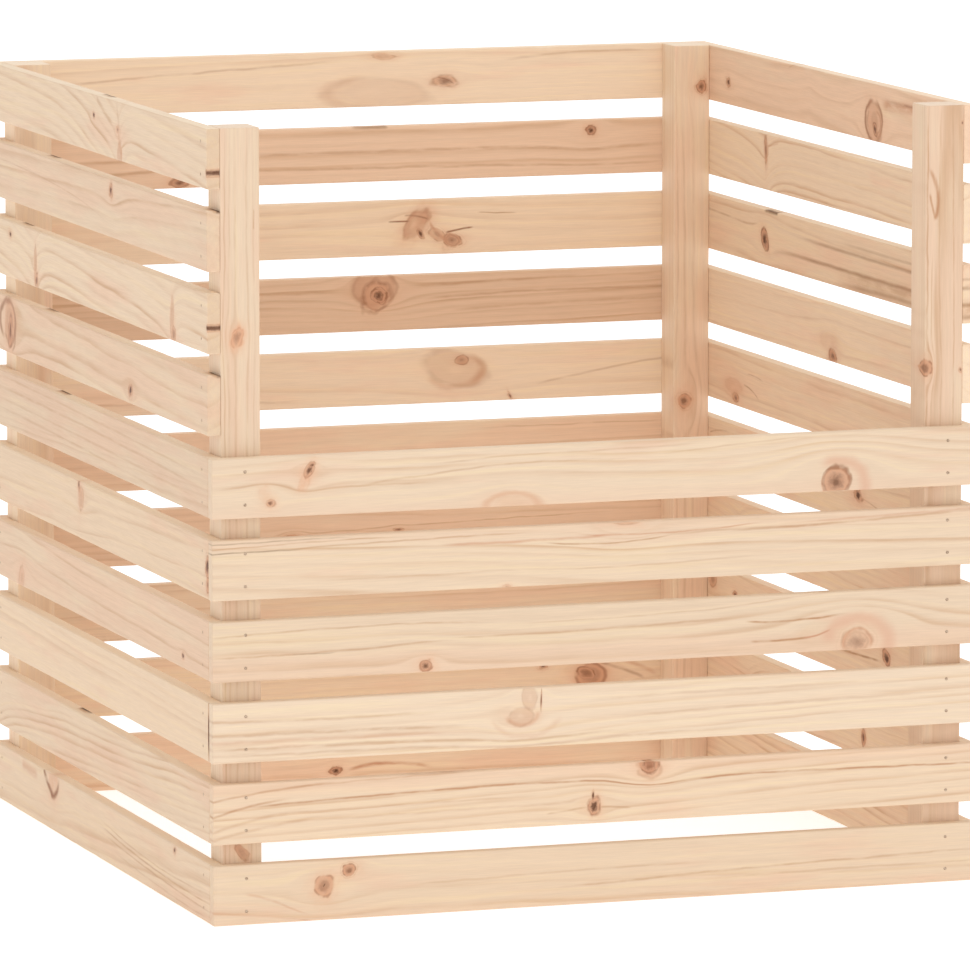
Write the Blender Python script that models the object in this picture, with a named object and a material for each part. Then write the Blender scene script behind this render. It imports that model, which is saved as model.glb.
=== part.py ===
"""Square slatted compost bin of pine, open at the top and at the bottom.

Four square posts stand inside the corners. The left, right and rear walls carry slats over their
full height. The front wall stops lower, so the bin is filled and emptied over it. The front and
rear slats run the full width and cover the ends of the side slats. Every slat is nailed to a post
at each end with two nails, whose heads sit in shallow seats in the slat's outer face.

The origin is on the ground in the middle of the bin, and the front faces -Y.
"""

import math

import bmesh
import bpy
from mathutils import Matrix

# Outside of the bin
WIDTH = 0.800
DEPTH = 0.800
HEIGHT = 0.780

# Slats: the wide face is vertical
SLAT_WIDTH = 0.059
SLAT_THICKNESS = 0.0135
WALL_SLATS = 10
FRONT_SLATS = 6

# Corner posts
POST_SIDE = 0.0395

# Planed edges, and the gap between boards that touch
EDGE_EASE = 0.0008
JOINT_GAP = 0.0003

# Nail seats: two at each slat end, on the post's centre line
NAIL_SPACING = 0.0324
NAIL_SEAT_DIAMETER = 0.0036
NAIL_SEAT_DEPTH = 0.0007
NAIL_SEAT_SIDES = 8

# Pine, as linear colour, for the faces that each wall shows most
PINE_FRONT = (0.80, 0.62, 0.43)
PINE_LEFT = (0.78, 0.60, 0.42)
PINE_RIGHT = (0.76, 0.57, 0.39)
PINE_REAR = (0.74, 0.54, 0.36)
PINE_POST = (0.75, 0.55, 0.37)
PINE_ROUGHNESS = 0.62
TONE_STEP = 0.025

# Places that follow from the sizes above
SLAT_PITCH = (HEIGHT - SLAT_WIDTH) / (WALL_SLATS - 1)
CORNER_INSET = SLAT_THICKNESS + JOINT_GAP
SIDE_SLAT_LENGTH = DEPTH - 2 * CORNER_INSET
POST_CENTRE_X = WIDTH / 2 - CORNER_INSET - POST_SIDE / 2
POST_CENTRE_Y = DEPTH / 2 - CORNER_INSET - POST_SIDE / 2
LONG_NAIL_X = POST_CENTRE_X
SIDE_NAIL_X = POST_CENTRE_Y


def clear_scene():
    """Remove every object that the scene starts with."""
    for obj in list(bpy.data.objects):
        bpy.data.objects.remove(obj, do_unlink=True)


def make_pine(name, colour, tone):
    """Planed, untreated pine; tone makes one board a little lighter or darker than the next."""
    material = bpy.data.materials.new(name)
    material.use_nodes = True
    shader = material.node_tree.nodes["Principled BSDF"]
    red, green, blue = (channel * tone for channel in colour)
    shader.inputs["Base Color"].default_value = (red, green, blue, 1.0)
    shader.inputs["Roughness"].default_value = PINE_ROUGHNESS
    shader.inputs["Metallic"].default_value = 0.0
    material.diffuse_color = (red, green, blue, 1.0)
    return material


def block_mesh(name, size, bottom):
    """A block centred in plan, standing on the height given as bottom."""
    mesh = bpy.data.meshes.new(name)
    bm = bmesh.new()
    lift = Matrix.Translation((0.0, 0.0, bottom + size[2] / 2))
    stretch = Matrix.Diagonal((size[0], size[1], size[2], 1.0))
    bmesh.ops.create_cube(bm, size=1.0, matrix=lift @ stretch)
    bm.to_mesh(mesh)
    bm.free()
    return mesh


def nail_seat_mesh(nail_x):
    """Four short pins through the outer face at -Y, two at each end of a slat."""
    mesh = bpy.data.meshes.new("nail_seats")
    bm = bmesh.new()
    radius = NAIL_SEAT_DIAMETER / 2
    along_y = Matrix.Rotation(math.pi / 2, 4, "X")
    for x in (-nail_x, nail_x):
        for z in (-NAIL_SPACING / 2, NAIL_SPACING / 2):
            place = Matrix.Translation((x, -SLAT_THICKNESS / 2, z))
            bmesh.ops.create_cone(
                bm,
                cap_ends=True,
                segments=NAIL_SEAT_SIDES,
                radius1=radius,
                radius2=radius,
                depth=2 * NAIL_SEAT_DEPTH,
                matrix=place @ along_y,
            )
    bm.to_mesh(mesh)
    bm.free()
    return mesh


def add_object(name, mesh):
    """Put a mesh into the scene under its own name."""
    obj = bpy.data.objects.new(name, mesh)
    bpy.context.scene.collection.objects.link(obj)
    return obj


def ease_edges(obj):
    """Take the sharpness off every edge, as the planer leaves it."""
    bevel = obj.modifiers.new("eased_edges", "BEVEL")
    bevel.width = EDGE_EASE
    bevel.segments = 1
    bevel.limit_method = "ANGLE"


def slat_mesh(name, length, nail_x):
    """One slat lying along X with its outer face at -Y, centred on its own middle."""
    size = (length, SLAT_THICKNESS, SLAT_WIDTH)
    slat = add_object(name + "_blank", block_mesh(name + "_blank", size, -SLAT_WIDTH / 2))
    ease_edges(slat)
    cutter = add_object(name + "_nail_seats", nail_seat_mesh(nail_x))
    cutter.hide_render = True
    cutter.display_type = "WIRE"
    cut = slat.modifiers.new("nail_seats", "BOOLEAN")
    cut.operation = "DIFFERENCE"
    cut.solver = "EXACT"
    cut.object = cutter
    depsgraph = bpy.context.evaluated_depsgraph_get()
    mesh = bpy.data.meshes.new_from_object(slat.evaluated_get(depsgraph))
    mesh.name = name
    bpy.data.objects.remove(slat, do_unlink=True)
    bpy.data.objects.remove(cutter, do_unlink=True)
    return mesh


def give_material(obj, material):
    """Hold the material on the object, because boards of one kind share their mesh."""
    if not obj.data.materials:
        obj.data.materials.append(None)
    obj.material_slots[0].link = "OBJECT"
    obj.material_slots[0].material = material


def board_tone(number):
    """Brightness of a board: neighbouring boards differ by a step or two."""
    return 1.0 + TONE_STEP * ((number * 3) % 5 - 2)


def slat_height(number):
    """Height of a slat's centre line; slat 1 is the top one, flush with the posts."""
    return HEIGHT - SLAT_WIDTH / 2 - (number - 1) * SLAT_PITCH


def make_wall(wall, mesh, numbers, x, y, turn, colour):
    """One wall of level slats, numbered from the top of the bin."""
    for count, number in enumerate(numbers, start=1):
        name = f"{wall}_slat_{count:02d}"
        slat = add_object(name, mesh)
        slat.location = (x, y, slat_height(number))
        slat.rotation_euler = (0.0, 0.0, turn)
        give_material(slat, make_pine(name + "_pine", colour, board_tone(number)))


def make_posts():
    """The four corner posts, which stand on the ground with the lowest slats."""
    mesh = block_mesh("corner_post", (POST_SIDE, POST_SIDE, HEIGHT), 0.0)
    places = {
        "front_left_post": (-1, -1),
        "front_right_post": (1, -1),
        "rear_left_post": (-1, 1),
        "rear_right_post": (1, 1),
    }
    for count, (name, (side, end)) in enumerate(places.items()):
        post = add_object(name, mesh)
        post.location = (side * POST_CENTRE_X, end * POST_CENTRE_Y, 0.0)
        ease_edges(post)
        give_material(post, make_pine(name + "_pine", PINE_POST, board_tone(count)))


def main():
    clear_scene()
    make_posts()
    long_slat = slat_mesh("long_slat", WIDTH, LONG_NAIL_X)
    side_slat = slat_mesh("side_slat", SIDE_SLAT_LENGTH, SIDE_NAIL_X)
    wall = range(1, WALL_SLATS + 1)
    low_wall = range(WALL_SLATS - FRONT_SLATS + 1, WALL_SLATS + 1)
    wall_x = WIDTH / 2 - SLAT_THICKNESS / 2
    wall_y = DEPTH / 2 - SLAT_THICKNESS / 2
    quarter = math.pi / 2
    make_wall("front", long_slat, low_wall, 0.0, -wall_y, 0.0, PINE_FRONT)
    make_wall("rear", long_slat, wall, 0.0, wall_y, 2 * quarter, PINE_REAR)
    make_wall("left", side_slat, wall, -wall_x, 0.0, -quarter, PINE_LEFT)
    make_wall("right", side_slat, wall, wall_x, 0.0, quarter, PINE_RIGHT)


main()
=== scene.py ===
"""Looks for the slatted compost bin: pine boards with grain and knots, nail heads, floor, light, camera."""

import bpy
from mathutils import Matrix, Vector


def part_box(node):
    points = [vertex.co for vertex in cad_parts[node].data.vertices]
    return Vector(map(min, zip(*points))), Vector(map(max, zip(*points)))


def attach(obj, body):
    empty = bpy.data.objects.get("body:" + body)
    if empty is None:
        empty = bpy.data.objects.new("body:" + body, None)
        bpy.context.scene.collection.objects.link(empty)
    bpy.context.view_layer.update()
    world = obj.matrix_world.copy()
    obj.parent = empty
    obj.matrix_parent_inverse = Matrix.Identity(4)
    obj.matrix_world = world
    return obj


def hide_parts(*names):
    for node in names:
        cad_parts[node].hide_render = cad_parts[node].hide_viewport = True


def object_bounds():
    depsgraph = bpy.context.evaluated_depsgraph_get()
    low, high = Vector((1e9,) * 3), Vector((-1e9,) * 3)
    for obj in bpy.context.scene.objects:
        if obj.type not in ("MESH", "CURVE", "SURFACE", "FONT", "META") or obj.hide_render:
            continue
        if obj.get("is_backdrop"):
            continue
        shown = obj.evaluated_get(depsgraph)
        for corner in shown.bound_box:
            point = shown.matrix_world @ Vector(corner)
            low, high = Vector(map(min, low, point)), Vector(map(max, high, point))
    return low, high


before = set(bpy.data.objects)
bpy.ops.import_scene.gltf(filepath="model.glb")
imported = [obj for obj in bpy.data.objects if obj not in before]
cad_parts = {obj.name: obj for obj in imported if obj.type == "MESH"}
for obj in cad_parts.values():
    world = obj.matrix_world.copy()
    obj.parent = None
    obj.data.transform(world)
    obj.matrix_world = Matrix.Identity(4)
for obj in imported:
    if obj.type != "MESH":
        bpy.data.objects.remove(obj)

import inspect
import math
import random
from collections import namedtuple

import bmesh
import bpy
import numpy as np
from mathutils import Matrix, Vector

CAD_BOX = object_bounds()
MM = 0.001
PER_METRE = 1000

# Camera, in the bin's frame
CAMERA_PLACE = (-2.85492, -8.46972, 1.58424)
CAMERA_YAW = 0.32668
CAMERA_PITCH = 0.13554
FOCAL_PIXELS = 8783.5
PICTURE_HEIGHT = 971
SENSOR_MM = 36
FARTHEST = 200

# Studio: an even white surround, a glowing floor and two soft lamps
WORLD_LIGHT = 0.9
FLOOR_RADIUS = 60
FLOOR_SIDES = 96
FLOOR_DROP = 0.4 * MM
# Each lamp: place, size and power
LAMPS = {
    "key": ((-1.6, -6, 3), 3.4, 40),
    "fill": ((0.5, -1, 4.5), 2.5, 25),
}
LAMP_AIM = (0, 0, 0.35)

# Boards: steps over a rounded edge and along the wood, then waves and dents in the arrises
EDGE_RADIUS = 1 * MM
POST_EDGE_RADIUS = 0.65 * MM
EDGE_SUPPORT = 0.5 * MM
ACROSS_STEP = 9 * MM
STATION = 5 * MM
FIRST_STATION = 2.2
BOARD_INSET = 0.01 * MM
POST_SNUG = 0.25 * MM
CORNERS = ((-1, -1), (1, -1), (1, 1), (-1, 1))
ARC_STEPS = 4
ARC_TURN = math.pi / 2 / (ARC_STEPS - 1)
END_STEPS = (0, 0.13, 0.5, 1)
ARRIS_PULL = 0.45
ARRIS_WAVES = 3
ARRIS_WAVE_MM = (9, 60)
ARRIS_WAVE_START = (0, 6.3)
ARRIS_WAVE_HEIGHT = 0.07 * MM
DENT_COUNT = (2, 5)
DENT_REACH_MM = (3, 9)
DENT_DEPTH_MM = (0.15, 0.55)
DENT_SHARE = 0.7
BOARD_CREASE = 38
THICK_MM = 30
TURNS = {"front": 0, "rear": math.pi, "left": -math.pi / 2, "right": math.pi / 2}

# Nails
NAIL_SPACING = 32.4 * MM
SEAT_RADIUS = 1.75 * MM
SEAT_BOTTOM_RADIUS = 0.86 * SEAT_RADIUS
SEAT_DEPTH = 0.62 * MM
SEAT_SIDES = 16
CUT_CLEARANCE = 1 * MM
HEAD_RADIUS = 1.6 * MM
HEAD_TOP = 0.12 * MM
HEAD_THICKNESS = 0.42 * MM
HEAD_SIDES = 14
HEAD_DOME = ((0, 0), (0.45, 0.015), (0.8, 0.05), (0.96, 0.11), (1, 0.18))
HEAD_FOOT = 0.97
HEAD_SUNK = 0.08
HEAD_STRAY = 0.1
HEAD_CREASE = 40
ZINC = (0.57, 0.44, 0.33, 1)
ZINC_SPOT = (0.36, 0.25, 0.165, 1)
ZINC_METALLIC = 0.55

# Colours, linear
WHITE = (1, 1, 1, 1)
EARLY = (0.798, 0.614, 0.440, 1)
EARLY_PINK = (0.795, 0.566, 0.402, 1)
EARLY_YELLOW = (0.800, 0.622, 0.415, 1)
LATE = (0.600, 0.362, 0.205, 1)
HALO = (0.690, 0.390, 0.240, 1)
KNOT = (0.560, 0.282, 0.160, 1)
KNOT_LINE = (0.270, 0.108, 0.048, 1)
KNOT_CORE = (0.125, 0.050, 0.024, 1)
SAWN_END = (0.52, 0.335, 0.20, 1)
PALE_END = (0.93, 0.78, 0.62, 1)
# Painted highlight for the narrow faces: tops, bottoms and post sides made paler
PLANED_EDGE = (0.93, 0.77, 0.58, 1)
# Painted shade along the arrises, mottled like wear
RUBBED_EDGE = (0.70, 0.50, 0.33, 1)
BROWN = (0.44, 0.232, 0.115, 1)
RED = (0.52, 0.245, 0.14, 1)
GREY = (0.33, 0.225, 0.145, 1)
GROWTH = (0.46, 0.235, 0.12, 1)
DARK_BAND = (0.36, 0.20, 0.11, 1)
RESIN = (0.085, 0.040, 0.018, 1)
ROSE = (0.63, 0.365, 0.245, 1)

# The timber of each wall: brightness, which is painted light and shade (the rear and right walls, seen from
# inside, paler; the front and left darker), and warmth, how much a painted highlight pales its narrow faces,
# how far growth lines stray from their arc in mm, and the tone of its sawn ends
Timber = namedtuple("Timber", "light warm edge_lift drift sawn", defaults=(SAWN_END,))
TIMBER = {
    "front": Timber(0.905, 0, 0.3, 3),
    "left": Timber(0.926, 0.03, 0.5, 1.5),
    "rear": Timber(1.02, 0, 0.3, 3),
    "right": Timber(1.03, 0, 0.5, 1.2),
    "post": Timber(0.94, 0, 0.3, 3, PALE_END),
}

# Noise scales for each mm along the board, through it and across it
SWAY = (0.0045, 0.012, 0.012)
RIPPLE = (0.018, 0.03, 0.045)
PATCH = (0.009, 0.05, 0.05)
FIBRE = (0.035, 1.4, 1.4)
BLOTCH = (0.006, 0.035, 0.035)
STREAKS = (0.004, 0.22, 0.22)
LINE_GAPS = (0.03, 0.1, 0.12)
LINE_STRAY = (0.03, 1, 1)
ARC_STRAY = (0.05, 0.05, 0.07)
# The next scale mottles the painted shade along the arrises
RUBBING = (0.02, 0.3, 0.3)
# Noise scales over a knot's radii and depth, and over the count of rings
KNOT_WOBBLE = (0.55, 0.55, 0)
KNOT_GRAIN = (1, 1, 0.12)
UNEVEN_RINGS = (1, 1, 1)
RING_PICK = (0.731, 1, 1)

# Grain round a knot reaches this much further along the board than across it, and bends by this share
FLOW_STRETCH = 2.1
FLOW_SHARE = -0.92

# A face counts as a narrow one or as an end once this much of its normal points that way
NARROW_FACING = (0.6, 0.9)
END_FACING = (0.75, 0.95)

# Seeds of the marks on a board: a share of its own seed, and a step from one mark to the next
FIELD_SEED = (1.7, 3.1)
LINE_SEED = (0.7, 2.3)
ARC_SEED = (0.3, 4.7)
PAINT_SEED = (1, 5.3)

# Surfaces; a bump has a strength and a depth, and a roughness goes from one value to the other
PINE_SPECULAR = 0.22
PINE_ROUGHNESS = (0.66, 0.54)
ZINC_ROUGHNESS = (0.5, 0.75)
PINE_BUMP = (0.55, 0.25 * MM)
ZINC_BUMP = (0.4, 0.1 * MM)
FLOOR_SURFACE = {
    "Base Color": (0.89, 0.90, 0.93, 1),
    "Roughness": 0.9,
    "Specular IOR Level": 0.1,
    "Emission Color": WHITE,
    "Emission Strength": 0.45,
}

# Pine: the share of its warmth that green loses, the blur of a pinker band, where the painted arris shade
# starts and is full beside an arris in mm, and how knots shrink: in a post with depth, on a slat at its
# narrow faces
WARM_GREEN = 0.45
BAND_BLUR_MM = 24
ARRIS_WEAR = (1.6, 0.3)
KNOT_SURFACE_MM = 4
POST_KNOT_TAPER = 0.35
NARROW_KNOT_GAP = 0.6


class Value(namedtuple("Value", "graph socket")):
    """A node's output, which can stand in a formula."""

    def __add__(self, other):
        return self.graph.math("ADD", self, other)

    def __sub__(self, other):
        return self.graph.math("SUBTRACT", self, other)

    def __rsub__(self, other):
        return self.graph.math("SUBTRACT", other, self)

    def __mul__(self, other):
        return self.graph.math("MULTIPLY", self, other)

    def __truediv__(self, other):
        return self.graph.math("DIVIDE", self, other)

    def __abs__(self):
        return self.graph.math("ABSOLUTE", self)


class Graph:
    """Short calls for building a node tree."""

    def __init__(self, tree):
        self.tree = tree

    def set(self, socket, value):
        if isinstance(value, Value):
            self.tree.links.new(value.socket, socket)
        else:
            socket.default_value = value

    def add(self, kind, values, **props):
        """A new node; values are its inputs by name or by number."""
        node = self.tree.nodes.new(kind)
        for key, value in props.items():
            setattr(node, key, value)
        for key, value in values.items():
            self.set(node.inputs[key], value)
        return node

    def out(self, node, key=0):
        return Value(self, node.outputs[key])

    def math(self, operation, *values):
        return self.out(self.add("ShaderNodeMath", dict(enumerate(values)), operation=operation))

    def length(self, first, second):
        return self.math("SQRT", first * first + second * second)

    def smooth(self, value, low, high, to_low=0, to_high=1):
        """From one value to another, with a soft start and end, as value goes from low to high."""
        values = dict(enumerate((value, low, high, to_low, to_high)))
        return self.out(self.add("ShaderNodeMapRange", values, interpolation_type="SMOOTHSTEP"))

    def mix(self, factor, first, second):
        values = {0: factor, 6: first, 7: second}
        return self.out(self.add("ShaderNodeMix", values, data_type="RGBA"), 2)

    def noise(self, vector, scale, detail, rough):
        values = {"Vector": vector, "Scale": scale, "Detail": detail, "Roughness": rough}
        return self.out(self.add("ShaderNodeTexNoise", values))

    def scaled(self, place, scales, seed):
        """A vector of three lengths, each times its scale, moved by a seed."""
        parts = [self.math("MULTIPLY_ADD", part, scale, seed) for part, scale in zip(place, scales)]
        return self.out(self.add("ShaderNodeCombineXYZ", dict(enumerate(parts))))

    def cloud(self, place, scales, seed, detail=2, rough=0.5):
        """Noise over three lengths, each times its scale."""
        return self.noise(self.scaled(place, scales, seed), 1, detail, rough)

    def split(self, vector):
        node = self.add("ShaderNodeSeparateXYZ", {0: vector})
        return [self.out(node, axis) for axis in range(3)]

    def bump(self, height, strength, distance):
        values = {"Height": height, "Strength": strength, "Distance": distance}
        return self.out(self.add("ShaderNodeBump", values))


def node_group(name, build, *outputs):
    """A node group from a function: its arguments are the inputs, and it returns the outputs."""
    group = bpy.data.node_groups.new(name, "ShaderNodeTree")
    inputs = list(inspect.signature(build).parameters)[1:]
    for labels, side in ((inputs, "INPUT"), (outputs, "OUTPUT")):
        for label in labels:
            kind = {"vector": "Vector", "colour": "Color"}.get(label, "Float")
            group.interface.new_socket(label, in_out=side, socket_type="NodeSocket" + kind)
    g = Graph(group)
    given = g.add("NodeGroupInput", {})
    taken = g.add("NodeGroupOutput", {})
    for label, value in zip(outputs, build(g, *(g.out(given, label) for label in inputs))):
        g.set(taken.inputs[label], value)
    return group


# In these formulas smooth says between which values a mark fades in or out, and how strong it gets
def knot_field(g, vector, x, z, radius, stretch, angle, flow, seed):
    """Where a knot lies on the board: its distance in radii, and how far it pushes the grain aside."""
    place_x, _, place_z = g.split(vector)
    dx = place_x - x
    dz = place_z - z
    cos = g.math("COSINE", angle)
    sin = g.math("SINE", angle)
    u = (dx * cos + dz * sin) / stretch / radius
    v = (dz * cos - dx * sin) / radius
    plain = g.length(u, v)
    wobble = g.cloud((u, v, 0), KNOT_WOBBLE, seed) - 0.5
    distance = wobble * (plain * 0.9 + 0.2) + plain
    # Grain flows round the knot as water does round a pile
    fx = dx / FLOW_STRETCH
    reach = radius * flow
    reach = reach * reach
    ratio = reach / g.math("MAXIMUM", fx * fx + dz * dz, reach)
    return distance, dz * ratio * FLOW_SHARE, u, v


def knot_paint(g, colour, height, distance, u, v, depth, dark, disc, rings, halo, seed):
    """Colours a knot over the wood: halo, disc with rings, outline and dark heart."""
    place = g.scaled((u, v, depth), KNOT_GRAIN, seed)
    detail = g.noise(place, 2.6, 4, 0.62)
    soft = g.noise(place, 1.1, 2, 0.5)
    outside = g.math("MAXIMUM", distance - 0.9, 0)
    fade = g.math("EXPONENT", outside * -1.7) * halo
    colour = g.mix(fade * g.smooth(soft, 0.3, 0.7, 0.55, 1), colour, HALO)
    body = g.smooth(distance, 0.82, 1.06, 1, 0) * disc
    colour = g.mix(body * g.smooth(detail, 0.2, 0.75, 0.78, 1), colour, KNOT)
    wave = g.math("SINE", (distance + soft * 0.3) * rings)
    ring = g.smooth(wave, 0.35, 1) * g.smooth(distance, 1.1, 1.5, 1, 0)
    colour = g.mix(ring * (disc * 0.42), colour, KNOT_LINE)
    edge = g.smooth(abs(distance - 0.98), 0.02, 0.2, 1, 0)
    edge = edge * g.smooth(soft, 0.38, 0.62, 0.1, 0.8)
    colour = g.mix(edge * disc, colour, KNOT_LINE)
    ragged = (detail - 0.5) * 0.95 + distance
    heart = g.smooth(ragged, 0.05, 0.85, 1, 0) * dark
    colour = g.mix(g.math("MINIMUM", heart, 1), colour, KNOT_CORE)
    return colour, height + heart * -0.8


def rings(g, vector, shift, seed, pith_y, pith_z, ring, taper, wave):
    """Growth rings of a tapered, slightly crooked log, cut by the board's own place in it."""
    x, y, z = place = g.split(vector)
    slow = g.cloud(place, SWAY, seed, 2, 0.45) - 0.5
    quick = g.cloud(place, RIPPLE, seed) - 0.5
    bent = z + shift + (slow * (wave * 2) + quick * (wave * 0.55))
    radius = g.length(y - pith_y, bent - pith_z)
    count = (x * taper + radius) / ring
    uneven = g.cloud((count * 0.37, 0, 0), UNEVEN_RINGS, seed, 1)
    count = count + uneven * 2.2
    part = g.math("FRACT", count)
    # Each ring darkens slowly and ends sharply, and some rings are darker than others
    rise = g.smooth(part, 0.08, 0.86)
    line = rise * rise * g.smooth(part, 0.78, 1, 1, 0)
    pick = g.cloud((g.math("FLOOR", count), 0, 0), RING_PICK, seed, 0)
    strength = g.smooth(pick, 0.38, 0.68, 0.14, 1.1)
    strength = strength * g.smooth(g.cloud(place, PATCH, seed), 0.3, 0.7, 0.35, 1.2)
    fibre = g.cloud(place, FIBRE, seed, 4, 0.6)
    blotch = g.cloud(place, BLOTCH, seed, 3, 0.55)
    return line * strength, fibre, blotch, g.cloud((x, y, bent), STREAKS, seed, 3, 0.6)


def streak(g, vector, shift, x0, z0, length, rise, bow, width, drift, gaps, seed):
    """A dark growth line or a short crack along a shallow arc of the board's face."""
    x, _, z = place = g.split(vector)
    t = (x - x0) / length
    stray = g.cloud((x, 0, 0), LINE_STRAY, seed) - 0.5
    centre = t * rise + z0 + t * (1 - t) * (bow * 4) + stray * drift
    # A steep part of the arc would look thicker, so the distance is measured square to it
    lean = ((t * -2 + 1) * 4 * bow + rise) / length
    away = abs(z + shift - centre) / g.math("SQRT", lean * lean + 1)
    line = g.smooth(away, 0, width, 1, 0)
    ends = g.smooth(t, 0, 0.12) * g.smooth(t, 0.8, 1, 1, 0)
    broken = g.cloud(place, LINE_GAPS, seed, 3, 0.6)
    missing = g.smooth(broken, 0.3, 0.6, 0.65, 0) * gaps
    return [line * ends * (1 - missing)]


def arc(g, vector, x, z, radius, stretch, toward, spread, width, seed):
    """Part of a ring round a point, where the grain closes again about a knot."""
    place_x, _, place_z = place = g.split(vector)
    u = (place_x - x) / stretch / radius
    v = (place_z - z) / radius
    distance = g.length(u, v)
    stray = g.cloud(place, ARC_STRAY, seed) - 0.5
    line = g.smooth(abs(stray * 0.28 + distance - 1), 0, width, 1, 0)
    ahead = u * g.math("COSINE", toward) + v * g.math("SINE", toward)
    ahead = ahead / g.math("MAXIMUM", distance, 0.01)
    return [line * g.smooth(ahead, spread, spread + 0.5)]


def spike(g, vector, x, height, before, after, blunt):
    """How far a hidden side branch pulls the grain up or down to a point."""
    away = g.split(vector)[0] - x
    away = g.math("MINIMUM", away / before, away * -1 / after)
    return [g.math("EXPONENT", blunt - g.length(away, blunt)) * height]


KNOT_FIELD = node_group("knot_field", knot_field, "distance", "shift", "u", "v")
KNOT_PAINT = node_group("knot_paint", knot_paint, "colour", "height")
RINGS = node_group("pine_rings", rings, "late", "fibre", "blotch", "streak")
STREAK = node_group("pine_streak", streak, "mask")
SPIKE = node_group("pine_spike", spike, "shift")
ARC = node_group("pine_arc", arc, "mask")


class PineGraph(Graph):
    """The node tree of one board's pine, with what its steps share; lengths are in the board's own mm."""

    def __init__(self, tree, size_mm, looks, timber):
        super().__init__(tree)
        self.wood, *self.marks = looks
        self.timber = timber
        self.half_thickness = size_mm[1] / 2
        self.half_width = size_mm[2] / 2
        self.knot_taper = POST_KNOT_TAPER if size_mm[1] > THICK_MM else 0
        place = self.add("ShaderNodeTexCoord", {})
        to_mm = {0: self.out(place, "Object"), 1: (PER_METRE, PER_METRE, PER_METRE)}
        self.vector = self.out(self.add("ShaderNodeVectorMath", to_mm, operation="MULTIPLY"))
        self.place = self.split(self.vector)
        facing = self.split(self.out(place, "Normal"))
        self.end = self.smooth(abs(facing[0]), *END_FACING)
        self.narrow = self.smooth(abs(facing[2]), *NARROW_FACING)

    def seed(self, number, share, step):
        return self.wood.seed * share + number * step

    def numbered(self, kind):
        """The board's marks of one kind, with their numbers."""
        return enumerate(mark for mark in self.marks if isinstance(mark, kind))

    def use(self, group, mark, **values):
        """A node group, its inputs set from the values given here and from the mark's own."""
        node = self.add("ShaderNodeGroup", {}, node_tree=group)
        known = {**mark._asdict(), "vector": self.vector, **values}
        for socket in node.inputs:
            self.set(socket, known[socket.name])
        return {socket.name: Value(self, socket) for socket in node.outputs}


def bend_grain(g):
    """How far knots and hidden branches push the grain aside, and each knot's own field."""
    shift = 0
    fields = []
    for number, knot in g.numbered(Knot):
        seed = g.seed(number, *FIELD_SEED)
        fields.append(g.use(KNOT_FIELD, knot, angle=math.radians(knot.angle), seed=seed))
        shift = fields[-1]["shift"] + shift
    for _, branch in g.numbered(Spike):
        shift = g.use(SPIKE, branch)["shift"] + shift
    return shift, fields


def tinted(colour, tint):
    """A colour times a tint, channel by channel."""
    return tuple(channel * share for channel, share in zip(colour, tint))


def plain_wood(g, grain):
    """Pale early wood with pink or yellow streaks, late wood, a painted highlight on the narrow faces, and
    duller or paler ends; each wall's brightness holds painted light and shade.
    """
    wood = g.wood
    # The wall's part of this brightness is painted light and shade
    light = wood.light * g.timber.light
    warm = wood.warm + g.timber.warm
    tint = (light, light * (1 - WARM_GREEN * warm), light * (1 - warm), 1)
    early, pink, yellow = (tinted(tone, tint) for tone in (EARLY, EARLY_PINK, EARLY_YELLOW))
    pinkness = g.smooth(grain["blotch"], 0.62 - wood.pink, 0.80 - wood.pink * 0.7)
    if wood.band:
        low, high, most = wood.band
        height = (grain["blotch"] - 0.5) * BAND_BLUR_MM + g.place[2]
        pinkness = g.math("MAXIMUM", pinkness, g.smooth(height, low, high, 0, most))
    colour = g.mix(g.smooth(grain["streak"], 0.48, 0.72, 0, 0.85), early, yellow)
    colour = g.mix(pinkness, colour, pink)
    late = grain["late"] * (g.end * -0.5 + 1)
    colour = g.mix(late * wood.late, colour, tinted(LATE, (light, light, light, 1)))
    shade = g.smooth(grain["fibre"], 0.28, 0.72, 0.955, 1.03)
    shade = shade * g.smooth(grain["streak"], 0.3, 0.7, 0.97, 1.02)
    shaded = {0: colour, "Scale": shade}
    colour = g.out(g.add("ShaderNodeVectorMath", shaded, operation="SCALE"))
    # Painted highlight: the narrow faces are paled as if more light fell on them
    colour = g.mix(g.narrow * g.timber.edge_lift, colour, PLANED_EDGE)
    colour = g.mix(g.end * wood.end, colour, g.timber.sawn)
    return colour, grain["fibre"] * 0.35 + late * 0.3


def draw_lines(g, colour, shift, follows):
    """The growth lines that follow the grain, or the marks that lie over everything."""
    for number, line in g.numbered(Line):
        if line.follows != follows:
            continue
        mask = g.use(
            STREAK,
            line,
            shift=shift if follows else 0,
            length=line.x1 - line.x0,
            rise=line.z1 - line.z0,
            drift=g.timber.drift,
            gaps=BAND_GAPS if line.tone == DARK_BAND else 1,
            seed=g.seed(number, *LINE_SEED),
        )["mask"]
        if line.tone == RESIN:
            # Resin runs along the upper arris and stains the face below it
            colour = g.mix(mask * g.smooth(g.place[1], -4, 2, 0, 0.75), colour, BROWN)
            mask = mask * g.smooth(g.place[1], 1.5, 4.5)
        elif not follows:
            mask = mask * (g.narrow * -0.9 + 1)
        colour = g.mix(mask * line.strength, colour, line.tone)
    return colour


def draw_arcs(g, colour):
    """The rings of grain that close round a knot."""
    for number, part in g.numbered(Arc):
        seed = g.seed(number, *ARC_SEED)
        mask = g.use(ARC, part, toward=math.radians(part.toward), seed=seed)["mask"]
        colour = g.mix(mask * part.strength, colour, part.tone)
    return colour


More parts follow.
